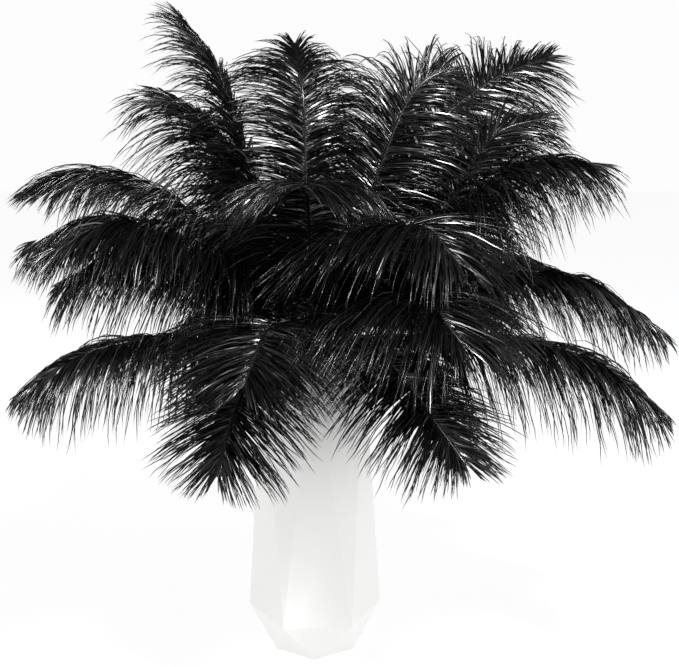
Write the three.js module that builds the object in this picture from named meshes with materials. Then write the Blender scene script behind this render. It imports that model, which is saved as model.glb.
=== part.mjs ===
// A bunch of dyed ostrich feathers standing in a faceted vase.
// Millimetres, +Z up, the vase's axis on Z and its foot on z = 0. The front is -Y.
// Each feather is one solid: its quill stands on the vase floor, its shaft arches over the rim,
// and two vanes of long, soft barbs hang from the shaft with a notched, lock-like edge.
import * as THREE from 'three';

// Vase: six-sided rings of corners, each turned half a facet from the one below.
const VASE_HEIGHT = 240;
const SHOULDER_HEIGHT = 32.5;
const FOOT_RADIUS = 35;
const SHOULDER_RADIUS = 52;
const MOUTH_RADIUS = 43;
const SHOULDER_TWIST = 4;
const WALL = 5;
const FLOOR = 7;
const BEVEL = 1;

// Where the quills stand: an inner and an outer ring of seats, at the floor and at the mouth.
const QUILL_LIFT = 0.5;
const RINGS = {
  inner: { atFloor: 9.5, atMouth: 13, firstSeat: -39 },
  outer: { atFloor: 21, atMouth: 27, firstSeat: 36 },
};

// Feather build.
const QUILL_RADIUS = 2.1;
const TIP_RADIUS = 0.7;
const BARE_SHAFT = 18;
const VANE_STATIONS = 19;
const BARB_STEPS = 8;
const NOTCH = 0.8;
const VANE_HALF_THICKNESS = 0.6;
const TIP_SWEEP = 72;
const SHORTEST_BARB = 1;
const LARGEST_DROP = 16;
const CLEARANCE = 5;
const SHAFT_CLEARANCE = 5;

// Every feather, front ones first. azimuth is the way it leans, in degrees from +X. path holds
// three points of its shaft above the mouth, each a reach from the axis and a height.
// barb is the longest barb; roll turns the vanes about the shaft; sweep is the angle by which the
// barbs lean towards the tip. hang bends the barbs down and curl bends them towards the hollow
// side of the arch.
const FEATHERS = [
  { name: 'feather_front_left', ring: 'outer', azimuth: 245, path: [[62, 255], [112, 224], [140, 183]],
    barb: 74, roll: 0, sweep: 26, hang: 0.15, curl: 0.2 },
  { name: 'feather_front_right_low', ring: 'outer', azimuth: 309, path: [[58, 254], [108, 228], [160, 190]],
    barb: 78, roll: 0, sweep: 20, hang: 0.3, curl: 0.2 },
  { name: 'feather_front_left_upper', ring: 'outer', azimuth: 254, path: [[46, 264], [98, 273], [146, 246]],
    barb: 86, roll: 0, sweep: 20, hang: 0.75, curl: -0.2 },
  { name: 'feather_front_right', ring: 'outer', azimuth: 307, path: [[50, 274], [122, 293], [160, 270]],
    barb: 112, roll: 0, sweep: 24, hang: 0.9, curl: 0 },
  { name: 'feather_front_right_upper', ring: 'outer', azimuth: 307, path: [[54, 312], [120, 341], [156, 320]],
    barb: 102, roll: 0, sweep: 24, hang: 0.9, curl: 0 },
  { name: 'feather_front_top', ring: 'inner', azimuth: 267, path: [[28, 310], [55, 362], [108, 366]],
    barb: 80, roll: 0, sweep: 28, hang: 1.1, curl: 0.3 },
  { name: 'feather_left_low', ring: 'outer', azimuth: 208, path: [[62, 254], [166, 255], [212, 233]],
    barb: 88, roll: 0, sweep: 36, hang: 1.6, curl: 0.3 },
  { name: 'feather_left_middle', ring: 'outer', azimuth: 200, path: [[70, 314], [134, 339], [188, 322]],
    barb: 100, roll: 0, sweep: 24, hang: 1.2, curl: 0.1 },
  { name: 'feather_left_under', ring: 'outer', azimuth: 190, path: [[66, 290], [136, 313], [176, 298]],
    barb: 100, roll: 0, sweep: 30, hang: 1.5, curl: 0.3 },
  { name: 'feather_left_back', ring: 'outer', azimuth: 180, path: [[80, 312], [148, 337], [205, 321]],
    barb: 97, roll: 5, sweep: 30, hang: 1.7, curl: 0.4 },
  { name: 'feather_left_high', ring: 'outer', azimuth: 172, path: [[90, 338], [156, 367], [212, 356]],
    barb: 90, roll: 20, sweep: 40, hang: 1, curl: 0.3 },
  { name: 'feather_right_low', ring: 'outer', azimuth: 340, path: [[78, 253], [196, 250], [250, 217]],
    barb: 98, roll: 0, sweep: 36, hang: 1.6, curl: 0.3 },
  { name: 'feather_right_middle', ring: 'outer', azimuth: 351, path: [[85, 286], [187, 299], [252, 262]],
    barb: 90, roll: 0, sweep: 36, hang: 1.5, curl: 0.4 },
  { name: 'feather_right_high', ring: 'outer', azimuth: 354, path: [[92, 326], [150, 377], [199, 378]],
    barb: 124, roll: -10, sweep: 24, hang: 1.8, curl: 0.3 },
  { name: 'feather_right_back', ring: 'outer', azimuth: 16, path: [[80, 286], [153, 304], [208, 289]],
    barb: 84, roll: 0, sweep: 40, hang: 1.4, curl: 0.4 },
  { name: 'feather_right_curled', ring: 'outer', azimuth: 12, path: [[104, 346], [142, 399], [178, 410]],
    barb: 88, roll: 35, sweep: 36, hang: 1, curl: 0.4 },
  { name: 'feather_upper_right', ring: 'inner', azimuth: 32, path: [[94, 385], [158, 436], [232, 463]],
    barb: 98, roll: 45, sweep: 33, hang: 0.75, curl: 0.2 },
  { name: 'feather_top_right', ring: 'inner', azimuth: 20, path: [[57, 384], [82, 432], [110, 448]],
    barb: 88, roll: 60, sweep: 26, hang: 1.1, curl: 0.3 },
  { name: 'feather_top_center', ring: 'inner', azimuth: 102, path: [[26, 330], [40, 428], [76, 468]],
    barb: 100, roll: 0, sweep: 26, hang: 1.2, curl: 0.2 },
  { name: 'feather_top_left', ring: 'inner', azimuth: 150, path: [[56, 370], [83, 443], [116, 486]],
    barb: 87, roll: 20, sweep: 36, hang: 1, curl: 0.4 },
  { name: 'feather_upper_left', ring: 'inner', azimuth: 166, path: [[58, 352], [88, 410], [114, 428]],
    barb: 112, roll: 0, sweep: 28, hang: 1.45, curl: 0.4 },
  { name: 'feather_back_left', ring: 'inner', azimuth: 133, path: [[60, 300], [125, 328], [195, 298]],
    barb: 104, roll: 0, sweep: 32, hang: 1.3, curl: 0.4 },
  { name: 'feather_back_right', ring: 'inner', azimuth: 74, path: [[60, 310], [125, 342], [195, 314]],
    barb: 104, roll: 0, sweep: 32, hang: 1.3, curl: 0.4 },
  { name: 'feather_back_middle', ring: 'outer', azimuth: 96, path: [[60, 280], [125, 302], [195, 268]],
    barb: 104, roll: 0, sweep: 32, hang: 1.3, curl: 0.4 },
  { name: 'feather_back_left_low', ring: 'outer', azimuth: 118, path: [[65, 262], [140, 256], [205, 220]],
    barb: 98, roll: 0, sweep: 36, hang: 1.2, curl: 0.3 },
  { name: 'feather_back_right_low', ring: 'outer', azimuth: 60, path: [[65, 262], [142, 255], [208, 218]],
    barb: 98, roll: 0, sweep: 36, hang: 1.2, curl: 0.3 },
];

const UP = new THREE.Vector3(0, 0, 1);

/** The level direction that points away from the axis at an angle in degrees. */
function outward(degrees) {
  const angle = THREE.MathUtils.degToRad(degrees);
  return new THREE.Vector3(Math.cos(angle), Math.sin(angle), 0);
}

/** A point at a reach from the axis along a level direction, and a height. */
function pointAt(direction, reach, height) {
  return direction.clone().multiplyScalar(reach).setZ(height);
}

/** The base point moved along each direction by its distance. */
function offset(base, ...moves) {
  const point = base.clone();
  for (const [direction, distance] of moves) {
    point.addScaledVector(direction, distance);
  }
  return point;
}

/**
 * One closed solid through rings of points, all with the same even count, closed at both ends.
 * The side between two points of a ring is split along a diagonal that climbs from the second
 * point to the first, or from the first to the second where isForward says so.
 */
function loft(rings, isForward = () => false) {
  const count = rings[0].length;
  const indices = [];
  for (let level = 0; level < rings.length - 1; level += 1) {
    for (let i = 0; i < count; i += 1) {
      const next = (i + 1) % count;
      const below = level * count;
      const above = below + count;
      if (isForward(i)) {
        indices.push(below + i, below + next, above + next);
        indices.push(below + i, above + next, above + i);
      } else {
        indices.push(below + i, below + next, above + i);
        indices.push(below + next, above + next, above + i);
      }
    }
  }
  const last = (rings.length - 1) * count;
  for (let k = 0; k < count / 2 - 1; k += 1) {
    const near = [k, k + 1, count - 1 - k];
    const far = [k + 1, count - 2 - k, count - 1 - k];
    for (const [a, b, c] of [near, far]) {
      indices.push(last + a, last + b, last + c);
      indices.push(c, b, a);
    }
  }
  const positions = rings.flat().flatMap((point) => point.toArray());
  const geometry = new THREE.BufferGeometry();
  geometry.setAttribute('position', new THREE.Float32BufferAttribute(positions, 3));
  geometry.setIndex(indices);
  geometry.computeVertexNormals();
  return geometry;
}

/** Six corners at a height, the first one at an angle in degrees. */
function hexagon(radius, height, angle) {
  return [0, 1, 2, 3, 4, 5].map((side) => pointAt(outward(angle + 60 * side), radius, height));
}

/** The vase: outside from foot to rim, then inside from rim to floor. */
function vaseGeometry() {
  const inset = WALL / Math.cos(Math.PI / 6);
  const shoulderTurn = 30 + SHOULDER_TWIST;
  return loft([
    hexagon(FOOT_RADIUS - BEVEL, 0, 30),
    hexagon(FOOT_RADIUS, BEVEL, 30),
    hexagon(SHOULDER_RADIUS, SHOULDER_HEIGHT, 30 + shoulderTurn),
    hexagon(MOUTH_RADIUS, VASE_HEIGHT - BEVEL, 90),
    hexagon(MOUTH_RADIUS - BEVEL, VASE_HEIGHT, 90),
    hexagon(MOUTH_RADIUS - inset + BEVEL, VASE_HEIGHT, 90),
    hexagon(MOUTH_RADIUS - inset, VASE_HEIGHT - BEVEL, 90),
    hexagon(SHOULDER_RADIUS - inset, SHOULDER_HEIGHT, 90 + shoulderTurn),
    hexagon(FOOT_RADIUS - inset, FLOOR, 150),
  ]);
}

/** Radius of the vase's outside at a height, read to its corners. */
function vaseRadius(height) {
  if (height < SHOULDER_HEIGHT) {
    return THREE.MathUtils.mapLinear(height, 0, SHOULDER_HEIGHT, FOOT_RADIUS, SHOULDER_RADIUS);
  }
  return THREE.MathUtils.mapLinear(height, SHOULDER_HEIGHT, VASE_HEIGHT, SHOULDER_RADIUS, MOUTH_RADIUS);
}

/** True where a point is in the vase's wall or mouth, or too near to it. */
function isByVase(point) {
  if (point.z > VASE_HEIGHT + 2) {
    return false;
  }
  return Math.hypot(point.x, point.y) < vaseRadius(point.z) + 3;
}

/** Give each feather of a ring a seat of its own, evenly spaced and in the order they lean. */
function seatFeathers(ring) {
  const members = FEATHERS.filter((feather) => feather.ring === ring);
  members.sort((a, b) => a.azimuth - b.azimuth);
  members.forEach((feather, i) => {
    feather.seat = RINGS[ring].firstSeat + (360 * i) / members.length;
  });
}

/** The centre line of a feather's shaft, from its foot on the vase floor to its tip. */
function shaftCurve(feather) {
  const { atFloor, atMouth } = RINGS[feather.ring];
  const seatWay = outward(feather.seat);
  const foot = pointAt(seatWay, atFloor, FLOOR + QUILL_LIFT);
  const mouth = pointAt(seatWay, atMouth, VASE_HEIGHT);
  const inside = foot.clone().lerp(mouth, 0.8);
  const arch = feather.path.map(([reach, height]) => pointAt(outward(feather.azimuth), reach, height));
  return new THREE.CatmullRomCurve3([foot, inside, mouth, ...arch], false, 'centripetal');
}

/** How long the barbs are along the vane, as a share of the longest. u runs from root to tip. */
function vaneOutline(u) {
  const root = THREE.MathUtils.smoothstep(u, 0, 0.22);
  const tip = Math.max(0, (u - 0.5) / 0.5);
  return (0.25 + 0.75 * root) * (1 - 0.82 * tip ** 2.6);
}

/** A station of the shaft: its point, radius and directions along, across and out of the arch. */
function stationAt(feather, curve, along, u) {
  const point = curve.getPointAt(along);
  const forward = curve.getTangentAt(along);
  const level = outward(feather.azimuth + 90);
  const across = level.addScaledVector(forward, -level.dot(forward)).normalize();
  const crown = forward.clone().cross(across);
  const roll = THREE.MathUtils.degToRad(feather.roll);
  across.applyAxisAngle(forward, roll);
  crown.applyAxisAngle(forward, roll);
  const radius = THREE.MathUtils.lerp(QUILL_RADIUS, TIP_RADIUS, along);
  return { point, forward, across, crown, radius, u };
}

/** The line of one barb: it leaves the shaft slanting forward, then bends down and inward. */
function barbLine(feather, station, side, length) {
  const lean = THREE.MathUtils.lerp(feather.sweep, TIP_SWEEP, station.u ** 5);
  const sweep = THREE.MathUtils.degToRad(lean);
  const hang = feather.hang * vaneOutline(station.u);
  const curl = feather.curl * vaneOutline(station.u);
  const line = [offset(station.point, [station.across, side * station.radius])];
  for (let step = 0; step < BARB_STEPS; step += 1) {
    const v = (step + 0.5) / BARB_STEPS;
    const heading = offset(
      new THREE.Vector3(),
      [station.across, side * Math.cos(sweep)],
      [station.forward, Math.sin(sweep)],
      [UP, -hang * 1.3 * v ** 1.5],
      [station.crown, -curl * v],
    ).normalize();
    line.push(offset(line[step], [heading, length / BARB_STEPS]));
  }
  return line;
}

// Space already taken by shafts and vanes, in a grid of cells so that near points are quick to find.
const CELL = 8;
const taken = new Map();

function cellKey(x, y, z) {
  return `${x},${y},${z}`;
}

function takeSpace(owner, point, clearance) {
  const key = cellKey(...point.toArray().map((value) => Math.floor(value / CELL)));
  if (!taken.has(key)) {
    taken.set(key, []);
  }
  taken.get(key).push({ owner, point, clearance });
}

function isFree(owner, point) {
  if (isByVase(point)) {
    return false;
  }
  const [cx, cy, cz] = point.toArray().map((value) => Math.floor(value / CELL));
  for (let x = cx - 1; x <= cx + 1; x += 1) {
    for (let y = cy - 1; y <= cy + 1; y += 1) {
      for (let z = cz - 1; z <= cz + 1; z += 1) {
        for (const other of taken.get(cellKey(x, y, z)) ?? []) {
          if (other.owner !== owner && other.point.distanceTo(point) < other.clearance) {
            return false;
          }
        }
      }
    }
  }
  return true;
}

/** Points spread over the strip of vane between two barbs, about 4 mm apart. */
function stripPoints(line, nextLine) {
  const points = [];
  for (const share of [0.25, 0.5, 0.75, 1]) {
    for (let i = 0; i <= BARB_STEPS; i += 1) {
      const here = line[i].clone().lerp(nextLine[i], share);
      points.push(here);
      if (i > 0) {
        points.push(here.clone().lerp(points[points.length - 2], 0.5));
      }
    }
  }
  return points;
}

/**
 * One side of a feather's vane: barb lines, each as long as its neighbours leave room for.
 * No barb reaches much further than the next one towards the tip, so that the vane never folds.
 */
function vaneSide(feather, stations, side) {
  const lengths = [];
  let before = null;
  stations.forEach((station, i) => {
    const notch = i % 2 === 0 ? NOTCH : 1;
    const full = feather.barb * vaneOutline(station.u) * notch;
    let length = full;
    let line = barbLine(feather, station, side, length);
    const isBlocked = () => !stripPoints(before ?? line, line).every((p) => isFree(feather.name, p));
    while (length > SHORTEST_BARB && isBlocked()) {
      length = Math.max(SHORTEST_BARB, length - full * 0.06);
      line = barbLine(feather, station, side, length);
    }
    lengths.push(length);
    before = line;
  });
  for (let i = lengths.length - 2; i >= 0; i -= 1) {
    lengths[i] = Math.min(lengths[i], lengths[i + 1] + LARGEST_DROP);
  }
  const lines = stations.map((station, i) => barbLine(feather, station, side, lengths[i]));
  for (let i = 1; i < lines.length; i += 1) {
    for (const point of stripPoints(lines[i - 1], lines[i])) {
      takeSpace(feather.name, point, CLEARANCE);
    }
  }
  return lines;
}

/** Eight points round the shaft and out along both vanes at one station. */
function sectionRing(station, left, right) {
  const { point, forward, crown, radius } = station;
  const thickness = Math.min(VANE_HALF_THICKNESS, radius * 0.7);
  const middle = BARB_STEPS / 2;
  const flank = (line, side) => {
    const heading = line[middle + 1].clone().sub(line[middle - 1]);
    const normal = forward.clone().cross(heading).multiplyScalar(side).normalize();
    return [offset(line[middle], [normal, thickness]), offset(line[middle], [normal, -thickness])];
  };
  const [leftTop, leftUnder] = flank(left, 1);
  const [rightTop, rightUnder] = flank(right, -1);
  return [
    left[BARB_STEPS], leftTop, offset(point, [crown, radius]), rightTop,
    right[BARB_STEPS], rightUnder, offset(point, [crown, -radius]), leftUnder,
  ];
}

/** The whole feather as one solid: bare quill first, then both vanes. */
function featherGeometry(feather) {
  const { curve, vaneStart } = feather;
  const quillStations = [0, 0.5, 1].map((share) => stationAt(feather, curve, share * vaneStart * 0.94, 0));
  const vaneStations = Array.from({ length: VANE_STATIONS }, (_, i) => {
    const u = i / (VANE_STATIONS - 1);
    return stationAt(feather, curve, THREE.MathUtils.lerp(vaneStart, 1, u), u);
  });
  const left = vaneSide(feather, vaneStations, 1);
  const right = vaneSide(feather, vaneStations, -1);
  const quillRings = quillStations.map((station) => sectionRing(
    station,
    barbLine(feather, station, 1, SHORTEST_BARB),
    barbLine(feather, station, -1, SHORTEST_BARB),
  ));
  const vaneRings = vaneStations.map((station, i) => sectionRing(station, left[i], right[i]));
  const climbsInward = (side) => side % 4 < 2;
  return loft([...quillRings, ...vaneRings], climbsInward);
}

function named(name, geometry, material) {
  const mesh = new THREE.Mesh(geometry, material);
  mesh.name = name;
  return mesh;
}

function plain(name, color, roughness) {
  return new THREE.MeshStandardMaterial({ name, color, roughness, metalness: 0 });
}

const glaze = plain('white_glaze', 0xf0efed, 0.45);
const plume = plain('black_plume', 0x0c0c0d, 0.6);

seatFeathers('inner');
seatFeathers('outer');
for (const feather of FEATHERS) {
  feather.curve = shaftCurve(feather);
  const length = feather.curve.getLength();
  const insideLength = (VASE_HEIGHT - FLOOR) * 1.01;
  feather.vaneStart = (insideLength + BARE_SHAFT) / length;
  for (const point of feather.curve.getSpacedPoints(Math.ceil(length / 4))) {
    takeSpace(feather.name, point, SHAFT_CLEARANCE);
  }
}

const bouquet = new THREE.Group();
bouquet.name = 'ostrich_feathers_in_vase';
bouquet.add(named('vase', vaseGeometry(), glaze));
for (const feather of FEATHERS) {
  bouquet.add(named(feather.name, featherGeometry(feather), plume));
}

export default bouquet;
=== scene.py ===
import math

import bpy
import numpy as np
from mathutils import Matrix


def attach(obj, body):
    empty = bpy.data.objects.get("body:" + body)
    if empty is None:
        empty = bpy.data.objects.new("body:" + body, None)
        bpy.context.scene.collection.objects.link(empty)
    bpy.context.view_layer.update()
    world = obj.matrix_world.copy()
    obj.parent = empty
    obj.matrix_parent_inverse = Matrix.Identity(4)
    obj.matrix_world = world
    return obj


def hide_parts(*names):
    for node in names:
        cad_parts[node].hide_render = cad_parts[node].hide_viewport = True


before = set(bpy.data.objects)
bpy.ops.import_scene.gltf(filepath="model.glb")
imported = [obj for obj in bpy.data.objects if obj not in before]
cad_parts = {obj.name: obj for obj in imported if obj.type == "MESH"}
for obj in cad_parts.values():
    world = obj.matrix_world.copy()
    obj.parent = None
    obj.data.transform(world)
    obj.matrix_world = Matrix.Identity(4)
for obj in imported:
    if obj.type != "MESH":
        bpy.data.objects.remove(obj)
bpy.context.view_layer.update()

MM = 0.001
UP = np.array([0.0, 0.0, 1.0])
TURN = 2 * math.pi

# ---------------------------------------------------------------- sizes, as in the solids (mm)
VASE_HEIGHT = 240.0
SHOULDER_HEIGHT = 32.5
SHOULDER_RADIUS = 52.0
FOOT_RADIUS = 35.0
MOUTH_RADIUS = 43.0
FLOOR = 7.0
QUILL_LIFT = 0.5
RINGS = {"inner": (9.5, 13.0, -39.0), "outer": (21.0, 27.0, 36.0)}
QUILL_RADIUS = 2.1
TIP_RADIUS = 0.7
BARE_SHAFT = 18.0
TIP_SWEEP = 72.0
HANG_PULL = 1.3
QUILL_SLANT = 1.01       # length of a quill inside the vase, over the vase's inner height
STRAIGHT_QUILL = 0.8     # share of the way from floor to mouth where a quill is kept straight

# the vane's outline: barbs are short at the root, full from FULL_FROM to FULL_TO, short at the tip
ROOT_BARB = 0.25
FULL_FROM = 0.22
FULL_TO = 0.5
TIP_SHORTENING = 0.82
TIP_POWER = 2.6

# name: ring of seats, azimuth it leans to, three shaft points above the mouth (reach, height),
# longest barb, roll of the vanes, sweep of the barbs, hang, curl
FEATHERS = {
    "front_left": ("outer", 245, ((62, 255), (112, 224), (140, 183)), 74, 0, 26, 0.15, 0.2),
    "front_right_low": ("outer", 309, ((58, 254), (108, 228), (160, 190)), 78, 0, 20, 0.3, 0.2),
    "front_left_upper": ("outer", 254, ((46, 264), (98, 273), (146, 246)), 86, 0, 20, 0.75, -0.2),
    "front_right": ("outer", 307, ((50, 274), (122, 293), (160, 270)), 112, 0, 24, 0.9, 0),
    "front_right_upper": ("outer", 307, ((54, 312), (120, 341), (156, 320)), 102, 0, 24, 0.9, 0),
    "front_top": ("inner", 267, ((28, 310), (55, 362), (108, 366)), 80, 0, 28, 1.1, 0.3),
    "left_low": ("outer", 208, ((62, 254), (166, 255), (212, 233)), 88, 0, 36, 1.6, 0.3),
    "left_middle": ("outer", 200, ((70, 314), (134, 339), (188, 322)), 100, 0, 24, 1.2, 0.1),
    "left_under": ("outer", 190, ((66, 290), (136, 313), (176, 298)), 100, 0, 30, 1.5, 0.3),
    "left_back": ("outer", 180, ((80, 312), (148, 337), (205, 321)), 97, 5, 30, 1.7, 0.4),
    "left_high": ("outer", 172, ((90, 338), (156, 367), (212, 356)), 90, 20, 40, 1, 0.3),
    "right_low": ("outer", 340, ((78, 253), (196, 250), (250, 217)), 98, 0, 36, 1.6, 0.3),
    "right_middle": ("outer", 351, ((85, 286), (187, 299), (252, 262)), 90, 0, 36, 1.5, 0.4),
    "right_high": ("outer", 354, ((92, 326), (150, 377), (199, 378)), 124, -10, 24, 1.8, 0.3),
    "right_back": ("outer", 16, ((80, 286), (153, 304), (208, 289)), 84, 0, 40, 1.4, 0.4),
    "right_curled": ("outer", 12, ((104, 346), (142, 399), (178, 410)), 88, 35, 36, 1, 0.4),
    "upper_right": ("inner", 32, ((94, 385), (158, 436), (232, 463)), 98, 45, 33, 0.75, 0.2),
    "top_right": ("inner", 20, ((57, 384), (82, 432), (110, 448)), 88, 60, 26, 1.1, 0.3),
    "top_center": ("inner", 102, ((26, 330), (40, 428), (76, 468)), 100, 0, 26, 1.2, 0.2),
    "top_left": ("inner", 150, ((56, 370), (83, 443), (116, 486)), 87, 20, 36, 1, 0.4),
    "upper_left": ("inner", 166, ((58, 352), (88, 410), (114, 428)), 112, 0, 28, 1.45, 0.4),
    "back_left": ("inner", 133, ((60, 300), (125, 328), (195, 298)), 104, 0, 32, 1.3, 0.4),
    "back_right": ("inner", 74, ((60, 310), (125, 342), (195, 314)), 104, 0, 32, 1.3, 0.4),
    "back_middle": ("outer", 96, ((60, 280), (125, 302), (195, 268)), 104, 0, 32, 1.3, 0.4),
    "back_left_low": ("outer", 118, ((65, 262), (140, 256), (205, 220)), 98, 0, 36, 1.2, 0.3),
    "back_right_low": ("outer", 60, ((65, 262), (142, 255), (208, 218)), 98, 0, 36, 1.2, 0.3),
}

# ---------------------------------------------------------------- how fine the barbs are
# a pair is the measure at a barb's root and at its tip
CURVE_STEPS = 60
SHAFT_SIDES = 8
SHAFT_RINGS = 44
FOOT_CAP = 0.3
TIP_CAP = 2.0
LOCKS_PER_SIDE = 130
BARBS_PER_LOCK = 6
LOCK_SEGMENTS = 9
BARB_SEGMENTS = 6
LOCK_RADII = (0.7, 0.26)
LOCK_CORNERS = (0.5, 2.6, 4.7)
BARB_WIDTHS = (1.1, 0.38)
BARBULES_PER_LOCK = 16
BARBULE_LENGTHS = (2.2, 0.8)
BARBULE_WIDTH = 0.34
BARBULE_FORWARD = 0.85
BARBULE_ASIDE = 0.53
FRINGED = 0.97           # share of a lock that carries barbules
ROOT_DEPTH = 0.8         # where in the shaft's radius a barb starts
OFF_VASE = 1.5           # gap between the vase and the barbs that are laid over it

# ---------------------------------------------------------------- how unruly the barbs are
# a pair is a range; a spread is one standard deviation, in degrees; a turn is in radians
RAGGED_SHARE = 0.15
RAGGED_LENGTHS = (0.62, 0.85)
LOCK_LENGTHS = (0.88, 1.05)
LOCK_SWEEP_SPREAD = 3.5
LOCK_LIFT_SPREAD = 7
LOCK_SWAY = 0.16
BARB_REACH = (0.3, 0.97)
BARB_SWEEP_SPREAD = 6
BARB_LIFT_SPREAD = 9
BARB_SWAY = 0.22
HANG_SHARES = (0.8, 1.2)
CURL_SHARES = (0.6, 1.4)
SWAY_WAVES = (5.0, 11.0)
SECOND_WAVE = 1.3
GATHERING = (0.35, 1.0)  # how fully a single barb runs into its lock
GATHERED_FROM = 0.1
GATHERED_BY = 0.75
RIBBON_TURN = 1.3
RIBBON_TWIST = 1.5
BARBULE_SCATTER = 0.02
BARBULE_TURN = 0.6
BARBULE_SHARES = (0.6, 1.15)
FIRST_SEED = 100

# ---------------------------------------------------------------- tones, from black to dark grey
SHAFT_TONE = 0.05
BARBULE_TONE = 0.8       # a share of its lock's tone


def outward(degrees):
    angle = math.radians(degrees)
    return np.array([math.cos(angle), math.sin(angle), 0.0])


def unit(vectors):
    return vectors / np.linalg.norm(vectors, axis=-1, keepdims=True)


def smoothstep(x, low, high):
    t = np.clip((x - low) / (high - low), 0.0, 1.0)
    return t * t * (3.0 - 2.0 * t)


def lerp(a, b, t):
    return a + (b - a) * t


def seats():
    """The angle of each feather's seat in the vase: evenly spaced, in the order they lean."""
    places = {}
    for ring, (_, _, first) in RINGS.items():
        members = [name for name, spec in FEATHERS.items() if spec[0] == ring]
        members.sort(key=lambda name: FEATHERS[name][1])
        for i, name in enumerate(members):
            places[name] = first + 360.0 * i / len(members)
    return places


def centripetal(points):
    """A centripetal Catmull-Rom curve through the points."""
    ends = [2 * points[0] - points[1]] + points + [2 * points[-1] - points[-2]]
    pieces = []
    for a, b, c, d in zip(ends, ends[1:], ends[2:], ends[3:]):
        t0, t1, t2 = (np.linalg.norm(q - p) ** 0.5 for p, q in ((a, b), (b, c), (c, d)))
        start = ((b - a) / t0 - (c - a) / (t0 + t1) + (c - b) / t1) * t1
        end = ((c - b) / t1 - (d - b) / (t1 + t2) + (d - c) / t2) * t1
        w = np.linspace(0.0, 1.0, CURVE_STEPS, endpoint=False)[:, None]
        w2, w3 = w * w, w * w * w
        pieces.append((2 * w3 - 3 * w2 + 1) * b + (w3 - 2 * w2 + w) * start
                      + (3 * w2 - 2 * w3) * c + (w3 - w2) * end)
    pieces.append(points[-1][None])
    return np.concatenate(pieces)


class Shaft:
    """A feather's centre line, read by distance along it."""

    def __init__(self, spec, seat):
        ring, azimuth, path = spec[:3]
        at_floor, at_mouth, _ = RINGS[ring]
        foot = outward(seat) * at_floor + UP * (FLOOR + QUILL_LIFT)
        mouth = outward(seat) * at_mouth + UP * VASE_HEIGHT
        arch = [outward(azimuth) * reach + UP * height for reach, height in path]
        self.line = centripetal([foot, lerp(foot, mouth, STRAIGHT_QUILL), mouth] + arch)
        steps = np.linalg.norm(np.diff(self.line, axis=0), axis=1)
        self.at = np.concatenate([[0.0], np.cumsum(steps)])
        self.length = self.at[-1]
        self.azimuth = azimuth
        self.roll = math.radians(spec[4])
        self.vane_start = (VASE_HEIGHT - FLOOR) * QUILL_SLANT + BARE_SHAFT

    def point(self, s):
        return np.stack([np.interp(s, self.at, self.line[:, k]) for k in range(3)], -1)

    def frame(self, s):
        """Point, and the directions forward, across and out of the arch, at each distance."""
        step = 3.0
        low = np.clip(s - step / 2, 0.0, self.length - step)
        forward = unit(self.point(low + step) - self.point(low))
        level = outward(self.azimuth + 90)
        across = unit(level - forward * (forward @ level)[:, None])
        crown = np.cross(forward, across)
        cos, sin = math.cos(self.roll), math.sin(self.roll)
        return self.point(s), forward, across * cos + crown * sin, crown * cos - across * sin

    def radius(self, s):
        return lerp(QUILL_RADIUS, TIP_RADIUS, s / self.length)


def vane_outline(u):
    """How long the barbs are along the vane, as a share of the longest."""
    root = lerp(ROOT_BARB, 1.0, smoothstep(u, 0.0, FULL_FROM))
    tip = np.maximum(0.0, (u - FULL_TO) / (1 - FULL_TO))
    return root * (1 - TIP_SHORTENING * tip ** TIP_POWER)


def clear_of_vase(points):
    """Barbs that would pass through the vase are laid over its rim and down its outside."""
    reach = np.hypot(points[..., 0], points[..., 1])
    height = points[..., 2]
    below = lerp(FOOT_RADIUS, SHOULDER_RADIUS, height / SHOULDER_HEIGHT)
    share = (height - SHOULDER_HEIGHT) / (VASE_HEIGHT - SHOULDER_HEIGHT)
    above = lerp(SHOULDER_RADIUS, MOUTH_RADIUS, share)
    wanted = np.where(height < SHOULDER_HEIGHT, below, above) + OFF_VASE
    inside = (height < VASE_HEIGHT + OFF_VASE) & (reach < wanted)
    push = np.where(inside, wanted / reach, 1.0)
    moved = points.copy()
    moved[..., :2] *= push[..., None]
    return moved


def barb_lines(shaft, side, u, length, sweep, hang, curl, lift, sway, rng, segments):
    """Centre lines of barbs that leave the shaft at the places u. Shape: barbs, points, 3."""
    count = len(u)
    s = lerp(shaft.vane_start, shaft.length, u)
    point, forward, across, crown = shaft.frame(s)
    out = side * across * np.cos(lift)[:, None] + crown * np.sin(lift)[:, None]
    phase, waves = rng.uniform(0, TURN, (2, count)), rng.uniform(*SWAY_WAVES, count)
    line = [point + side * across * (shaft.radius(s) * ROOT_DEPTH)[:, None]]
    for step in range(segments):
        v = (step + 0.5) / segments
        heading = out * np.cos(sweep)[:, None] + forward * np.sin(sweep)[:, None]
        heading = heading - UP * (hang * HANG_PULL * v ** 1.5)[:, None]
        heading = unit(heading - crown * (curl * v)[:, None])
        heading = heading + sway * v * np.sin(phase[0] + waves * v)[:, None] * crown
        heading = heading + sway * v * np.sin(phase[1] + SECOND_WAVE * waves * v)[:, None] * forward
        line.append(line[-1] + unit(heading) * (length / segments)[:, None])
    return np.stack(line, 1), crown


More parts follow.
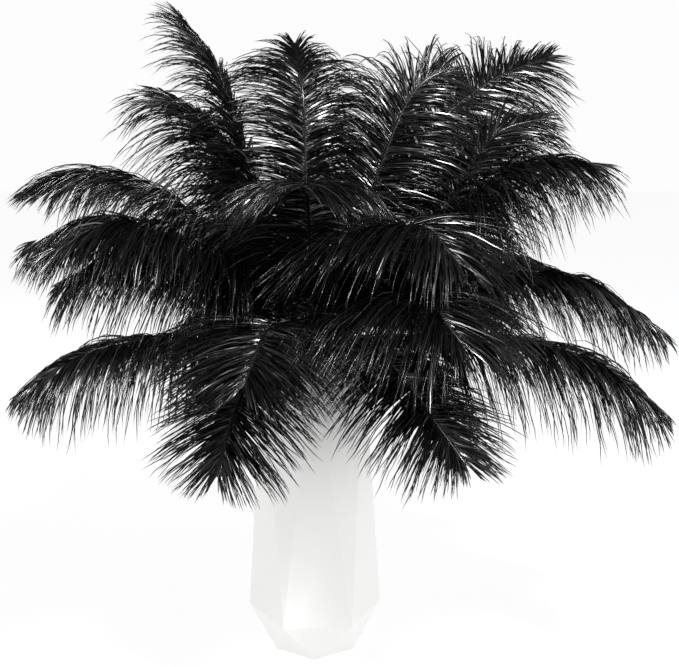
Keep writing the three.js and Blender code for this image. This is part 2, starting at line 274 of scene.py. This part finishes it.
def grow_side(shaft, spec, side, rng):
    """One side's locks, and the single barbs that start between them and run into them."""
    barb, _, swept, hang, curl = spec[3:]
    count = LOCKS_PER_SIDE
    u = (np.arange(count) + rng.uniform(0.1, 0.9, count)) / count
    is_ragged = rng.uniform(0, 1, count) < RAGGED_SHARE
    ragged = np.where(is_ragged, rng.uniform(*RAGGED_LENGTHS, count), 1.0)
    length = barb * vane_outline(u) * rng.uniform(*LOCK_LENGTHS, count) * ragged
    leaning = lerp(swept, TIP_SWEEP, u ** 5)
    sweep = np.radians(leaning + rng.normal(0, LOCK_SWEEP_SPREAD, count))
    hangs = hang * vane_outline(u) * rng.uniform(*HANG_SHARES, count)
    curls = curl * vane_outline(u) * rng.uniform(*CURL_SHARES, count)
    lift = np.radians(rng.normal(0, LOCK_LIFT_SPREAD, count))
    locks, crown = barb_lines(
        shaft, side, u, length, sweep, hangs, curls, lift, LOCK_SWAY, rng, LOCK_SEGMENTS)

    own = np.repeat(np.arange(count), BARBS_PER_LOCK)
    singles = len(own)
    apart = rng.uniform(-1.0, 1.0, singles) / count
    reach = rng.uniform(*BARB_REACH, singles)
    roots = np.clip(u[own] + apart, 0.0, 0.999)
    fine_sweep = sweep[own] + np.radians(rng.normal(0, BARB_SWEEP_SPREAD, singles))
    fine_hangs = hangs[own] * rng.uniform(*HANG_SHARES, singles)
    fine_lift = lift[own] + np.radians(rng.normal(0, BARB_LIFT_SPREAD, singles))
    fine, fine_crown = barb_lines(
        shaft, side, roots, length[own] * reach, fine_sweep, fine_hangs, curls[own], fine_lift,
        BARB_SWAY, rng, BARB_SEGMENTS)
    v = np.linspace(0.0, 1.0, BARB_SEGMENTS + 1)
    place = v[None] * reach[:, None] * LOCK_SEGMENTS
    cell = np.minimum(place.astype(int), LOCK_SEGMENTS - 1)
    rows = own[:, None]
    along = lerp(locks[rows, cell], locks[rows, cell + 1], (place - cell)[..., None])
    gathering = rng.uniform(*GATHERING, singles)[:, None, None]
    gathered = smoothstep(v, GATHERED_FROM, GATHERED_BY)[None, :, None]
    fine = lerp(fine, along, gathering * gathered)
    return clear_of_vase(locks), crown, clear_of_vase(fine), fine_crown


def axes_along(forward, crown):
    """The directions across and out of each barb, square to the way it runs."""
    side = unit(np.cross(forward, crown[:, None, :]))
    return side, np.cross(side, forward)


def copies(triangles, count, each):
    """One barb's triangles, repeated for a count of barbs with so many vertices each."""
    shifted = np.array(triangles)[None] + (np.arange(count) * each)[:, None, None]
    return shifted.reshape(-1, 3)


def strand_mesh(lines, crown):
    """Three-sided tapering strands along the lines."""
    count, points = lines.shape[:2]
    side, normal = axes_along(unit(np.gradient(lines, axis=1)), crown)
    radius = lerp(*LOCK_RADII, np.linspace(0.0, 1.0, points))[None, :, None]
    corners = [lines + radius * (side * math.cos(angle) + normal * math.sin(angle))
               for angle in LOCK_CORNERS]
    body = np.stack(corners, 2)[:, :-1]
    vertices = np.concatenate([body.reshape(count, -1, 3), lines[:, -1:]], 1)
    each = vertices.shape[1]
    triangles = []
    for level in range(points - 2):
        for k in range(3):
            a, b = level * 3 + k, level * 3 + (k + 1) % 3
            triangles += [(a, b, b + 3), (a, b + 3, a + 3)]
    last = (points - 2) * 3
    triangles += [(last + k, last + (k + 1) % 3, each - 1) for k in range(3)]
    return vertices.reshape(-1, 3), copies(triangles, count, each), each


def ribbon_mesh(lines, crown, rng):
    """Flat tapering ribbons along the lines, each turned its own way."""
    count, points = lines.shape[:2]
    along = np.linspace(0.0, 1.0, points)[None]
    side, normal = axes_along(unit(np.gradient(lines, axis=1)), crown)
    turn = rng.uniform(-RIBBON_TURN, RIBBON_TURN, (count, 1))
    turn = turn + rng.uniform(-RIBBON_TWIST, RIBBON_TWIST, (count, 1)) * along
    edge = side * np.cos(turn)[..., None] + normal * np.sin(turn)[..., None]
    half = lerp(*BARB_WIDTHS, along)[..., None] / 2
    body = np.stack([lines - edge * half, lines + edge * half], 2)[:, :-1].reshape(count, -1, 3)
    vertices = np.concatenate([body, lines[:, -1:]], 1)
    each = vertices.shape[1]
    triangles = []
    for a in range(0, 2 * (points - 2), 2):
        triangles += [(a, a + 1, a + 3), (a, a + 3, a + 2)]
    triangles.append((each - 3, each - 2, each - 1))
    return vertices.reshape(-1, 3), copies(triangles, count, each), each


def barbule_mesh(lines, crown, rng):
    """Fine triangles along each lock, leaning forward to both sides: its soft fringe."""
    count, points = lines.shape[:2]
    per_lock = BARBULES_PER_LOCK
    spaced = (np.arange(per_lock) + 0.5)[None] / per_lock * FRINGED
    v = spaced + rng.uniform(-BARBULE_SCATTER, BARBULE_SCATTER, (count, per_lock))
    place = np.clip(v, 0.02, 0.985) * (points - 1)
    cell = np.minimum(place.astype(int), points - 2)
    share = (place - cell)[..., None]
    rows = np.arange(count)[:, None]
    base = lerp(lines[rows, cell], lines[rows, cell + 1], share)
    forward = unit(lines[rows, cell + 1] - lines[rows, cell])
    side, normal = axes_along(forward, crown)
    which_side = np.where(np.arange(per_lock) % 2, 0.0, math.pi)[None]
    turn = rng.normal(0.0, BARBULE_TURN, (count, per_lock)) + which_side
    lateral = side * np.cos(turn)[..., None] + normal * np.sin(turn)[..., None]
    length = lerp(*BARBULE_LENGTHS, v[..., None])
    length = length * rng.uniform(*BARBULE_SHARES, (count, per_lock, 1))
    tip = base + (forward * BARBULE_FORWARD + lateral * BARBULE_ASIDE) * length
    half = forward * BARBULE_WIDTH / 2
    vertices = clear_of_vase(np.stack([base - half, base + half, tip], 2)).reshape(-1, 3)
    triangles = np.arange(len(vertices)).reshape(-1, 3)
    return vertices, triangles


def shaft_mesh(shaft):
    """The quill and shaft as one tapering tube, closed by a blunt foot and a pointed tip."""
    sides, rings = SHAFT_SIDES, SHAFT_RINGS
    s = np.linspace(0.0, shaft.length, rings)
    point, forward, across, crown = shaft.frame(s)
    radius = shaft.radius(s)[:, None]
    ring = [point + radius * (across * math.cos(a) + crown * math.sin(a))
            for a in np.arange(sides) * TURN / sides]
    ends = [point[:1] - forward[:1] * FOOT_CAP, point[-1:] + forward[-1:] * TIP_CAP]
    vertices = np.concatenate([np.stack(ring, 1).reshape(-1, 3)] + ends)
    triangles = []
    for level in range(rings - 1):
        for k in range(sides):
            a, b = level * sides + k, level * sides + (k + 1) % sides
            triangles += [(a, b, b + sides), (a, b + sides, a + sides)]
    last, foot, tip = (rings - 1) * sides, len(vertices) - 2, len(vertices) - 1
    for k in range(sides):
        triangles += [((k + 1) % sides, k, foot), (last + k, last + (k + 1) % sides, tip)]
    return vertices, np.array(triangles)


def mesh_object(name, vertices, triangles, tones_and_sheen):
    """A mesh object in metres, with a tone per vertex for the material to read: a random tone,
    whose highest values the material paints as sheen.
    """
    mesh = bpy.data.meshes.new(name)
    mesh.vertices.add(len(vertices))
    mesh.vertices.foreach_set("co", (vertices * MM).astype(np.float32).ravel())
    mesh.loops.add(len(triangles) * 3)
    mesh.loops.foreach_set("vertex_index", triangles.astype(np.int32).ravel())
    mesh.polygons.add(len(triangles))
    mesh.polygons.foreach_set("loop_start", np.arange(0, len(triangles) * 3, 3, dtype=np.int32))
    mesh.polygons.foreach_set("use_smooth", np.ones(len(triangles), bool))
    mesh.update(calc_edges=True)
    tone_and_sheen = mesh.attributes.new("tone_and_sheen", "FLOAT", "POINT")
    tone_and_sheen.data.foreach_set("value", tones_and_sheen.astype(np.float32))
    piece = bpy.data.objects.new(name, mesh)
    bpy.context.scene.collection.objects.link(piece)
    return piece


def feather_object(name, spec, seat, seed):
    """One whole feather as one mesh: shaft, then each side's locks, barbules and single barbs."""
    rng = np.random.default_rng(seed)
    shaft = Shaft(spec, seat)
    parts, faces, tones_and_sheen = [], [], []

    def add(vertices, triangles, tone_and_sheen):
        faces.append(triangles + sum(len(part) for part in parts))
        parts.append(vertices)
        tones_and_sheen.append(tone_and_sheen)

    vertices, triangles = shaft_mesh(shaft)
    add(vertices, triangles, np.full(len(vertices), SHAFT_TONE))
    for side in (1, -1):
        locks, crown, fine, fine_crown = grow_side(shaft, spec, side, rng)
        # a random tone per lock; the material makes the highest tones paler, as painted sheen in
        # place of highlights
        tone_and_sheen = rng.uniform(0.0, 1.0, len(locks))
        vertices, triangles, each = strand_mesh(locks, crown)
        add(vertices, triangles, np.repeat(tone_and_sheen, each))
        vertices, triangles = barbule_mesh(locks, crown, rng)
        add(vertices, triangles, np.repeat(tone_and_sheen * BARBULE_TONE, BARBULES_PER_LOCK * 3))
        vertices, triangles, each = ribbon_mesh(fine, fine_crown, rng)
        add(vertices, triangles, np.repeat(rng.uniform(0.0, 1.0, len(fine)), each))
    whole = (np.concatenate(arrays) for arrays in (parts, faces, tones_and_sheen))
    return mesh_object(name + "_plume", *whole)


# ---------------------------------------------------------------- materials
def new_material(name):
    """A material with its nodes, its links and its Principled shader."""
    material = bpy.data.materials.new(name)
    material.use_nodes = True
    tree = material.node_tree
    return material, tree.nodes, tree.links, tree.nodes["Principled BSDF"]


def noise_node(nodes, links, scale, detail):
    """Noise fixed to the object."""
    coords = nodes.new("ShaderNodeTexCoord")
    noise = nodes.new("ShaderNodeTexNoise")
    noise.inputs["Scale"].default_value = scale
    noise.inputs["Detail"].default_value = detail
    links.new(coords.outputs["Object"], noise.inputs["Vector"])
    return noise


def uneven_gloss(nodes, links, shader, noise, low, high):
    """Roughness between two values, led by a noise."""
    rough = nodes.new("ShaderNodeMapRange")
    rough.inputs["To Min"].default_value = low
    rough.inputs["To Max"].default_value = high
    links.new(noise.outputs["Fac"], rough.inputs["Value"])
    links.new(rough.outputs["Result"], shader.inputs["Roughness"])


def plume_material():
    """Dyed black barbs: nearly black, with a silky gloss, and now and then a paler barb: partly
    random tone, partly painted sheen that stands in for a highlight.
    """
    material, nodes, links, shader = new_material("black_plume")
    tone_and_sheen = nodes.new("ShaderNodeAttribute")
    tone_and_sheen.attribute_name = "tone_and_sheen"
    # the top of the ramp makes the highest tones into paler barbs: painted sheen in place of
    # highlights, on barbs picked at random
    ramp = nodes.new("ShaderNodeValToRGB")
    ramp.color_ramp.elements[0].color = (0.0015, 0.0015, 0.0018, 1)
    ramp.color_ramp.elements[1].color = (0.04, 0.04, 0.042, 1)
    for place, level in ((0.8, 0.002), (0.95, 0.01)):
        ramp.color_ramp.elements.new(place).color = (level, level, level * 1.06, 1)
    links.new(tone_and_sheen.outputs["Fac"], ramp.inputs["Fac"])
    links.new(ramp.outputs["Color"], shader.inputs["Base Color"])
    noise = noise_node(nodes, links, scale=60, detail=3)
    uneven_gloss(nodes, links, shader, noise, low=0.2, high=0.36)
    shader.inputs["Specular IOR Level"].default_value = 0.5
    return material


def glaze_material():
    """White satin glaze: a faint warm tint, tiny pits and a slightly uneven gloss."""
    material, nodes, links, shader = new_material("white_glaze")
    cloud = noise_node(nodes, links, scale=9, detail=4)
    ramp = nodes.new("ShaderNodeValToRGB")
    ramp.color_ramp.elements[0].position = 0.3
    ramp.color_ramp.elements[0].color = (0.775, 0.771, 0.765, 1)
    ramp.color_ramp.elements[1].position = 0.7
    ramp.color_ramp.elements[1].color = (0.805, 0.802, 0.797, 1)
    links.new(cloud.outputs["Fac"], ramp.inputs["Fac"])
    links.new(ramp.outputs["Color"], shader.inputs["Base Color"])
    uneven_gloss(nodes, links, shader, cloud, low=0.38, high=0.5)
    grain = noise_node(nodes, links, scale=420, detail=2)
    bump = nodes.new("ShaderNodeBump")
    bump.inputs["Strength"].default_value = 0.06
    bump.inputs["Distance"].default_value = 0.4 * MM
    links.new(grain.outputs["Fac"], bump.inputs["Height"])
    links.new(bump.outputs["Normal"], shader.inputs["Normal"])
    return material


# ---------------------------------------------------------------- the vase and the feathers
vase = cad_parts["vase"]
vase.data.materials.clear()
vase.data.materials.append(glaze_material())
edges = vase.modifiers.new("soft_edges", "BEVEL")
edges.width = 0.9 * MM
edges.segments = 3
edges.limit_method = "ANGLE"
edges.angle_limit = math.radians(4)

plume = plume_material()
places = seats()
for index, (feather, spec) in enumerate(FEATHERS.items()):
    name = "feather_" + feather
    piece = feather_object(name, spec, places[feather], FIRST_SEED + index)
    piece.data.materials.append(plume)
    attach(piece, "root")
    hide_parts(name)

# ---------------------------------------------------------------- studio
scene = bpy.context.scene


def area_light(name, place, target, size, power):
    """A round soft lamp at a place, turned towards its target."""
    light = bpy.data.lights.new(name, "AREA")
    light.shape = "DISK"
    light.size = size
    light.energy = power
    lamp = bpy.data.objects.new(name, light)
    scene.collection.objects.link(lamp)
    lamp.location = place
    way = np.array(target) - np.array(place)
    tilt = math.atan2(math.hypot(way[0], way[1]), -way[2])
    lamp.rotation_euler = (tilt, 0, math.atan2(-way[0], way[1]))


def floor():
    """A wide pale floor that shines a little, so that it shows white to the horizon."""
    half = 6.0
    corners = [(-half, -half, 0), (half, -half, 0), (half, half, 0), (-half, half, 0)]
    mesh = bpy.data.meshes.new("floor")
    mesh.from_pydata(corners, [], [(0, 1, 2, 3)])
    piece = bpy.data.objects.new("floor", mesh)
    scene.collection.objects.link(piece)
    material, _, _, shader = new_material("pale_floor")
    shader.inputs["Base Color"].default_value = (0.06, 0.06, 0.06, 1)
    shader.inputs["Roughness"].default_value = 0.9
    shader.inputs["Emission Color"].default_value = (1, 1, 1, 1)
    shader.inputs["Emission Strength"].default_value = 0.93
    mesh.materials.append(material)


floor()
area_light("key", (0.4, -0.75, 1.5), (0, 0, 0.3), size=0.2, power=50)
area_light("left", (-1.5, -0.7, 0.4), (0, 0, 0.2), size=1.0, power=12.5)
area_light("right", (1.5, -0.8, 0.4), (0, 0, 0.2), size=1.0, power=14.5)
area_light("back", (-0.3, 1.6, 0.9), (0, 0, 0.3), size=0.6, power=7)

# the room is white to the eye, a soft grey fill for rough surfaces and dark in the gloss
world = bpy.data.worlds.new("studio")
scene.world = world
world.use_nodes = True
nodes, links = world.node_tree.nodes, world.node_tree.links
room = nodes["Background"]
room.inputs["Color"].default_value = (0.98, 0.98, 0.98, 1)
seen = nodes.new("ShaderNodeLightPath")
fill = nodes.new("ShaderNodeMapRange")
fill.inputs["To Min"].default_value = 0.05
fill.inputs["To Max"].default_value = 0.36
strength = nodes.new("ShaderNodeMath")
strength.operation = "MAXIMUM"
links.new(seen.outputs["Is Diffuse Ray"], fill.inputs["Value"])
links.new(seen.outputs["Is Camera Ray"], strength.inputs[0])
links.new(fill.outputs["Result"], strength.inputs[1])
links.new(strength.outputs["Value"], room.inputs["Strength"])
scene.view_settings.view_transform = "Standard"
scene.view_settings.look = "None"

# ---------------------------------------------------------------- camera
DISTANCE = 0.757
PITCH = math.radians(11.5)
AIM = (0.0195, 0.0, 0.2505)
SENSOR_MM = 36
FOCAL_PIXELS = 1000
WIDTH_PIXELS = 679
camera_data = bpy.data.cameras.new("camera")
camera_data.sensor_width = SENSOR_MM
camera_data.lens = SENSOR_MM * FOCAL_PIXELS / WIDTH_PIXELS
camera = bpy.data.objects.new("camera", camera_data)
scene.collection.objects.link(camera)
camera.location = (
    AIM[0], AIM[1] - DISTANCE * math.cos(PITCH), AIM[2] + DISTANCE * math.sin(PITCH))
camera.rotation_euler = (math.pi / 2 - PITCH, 0, 0)
scene.camera = camera
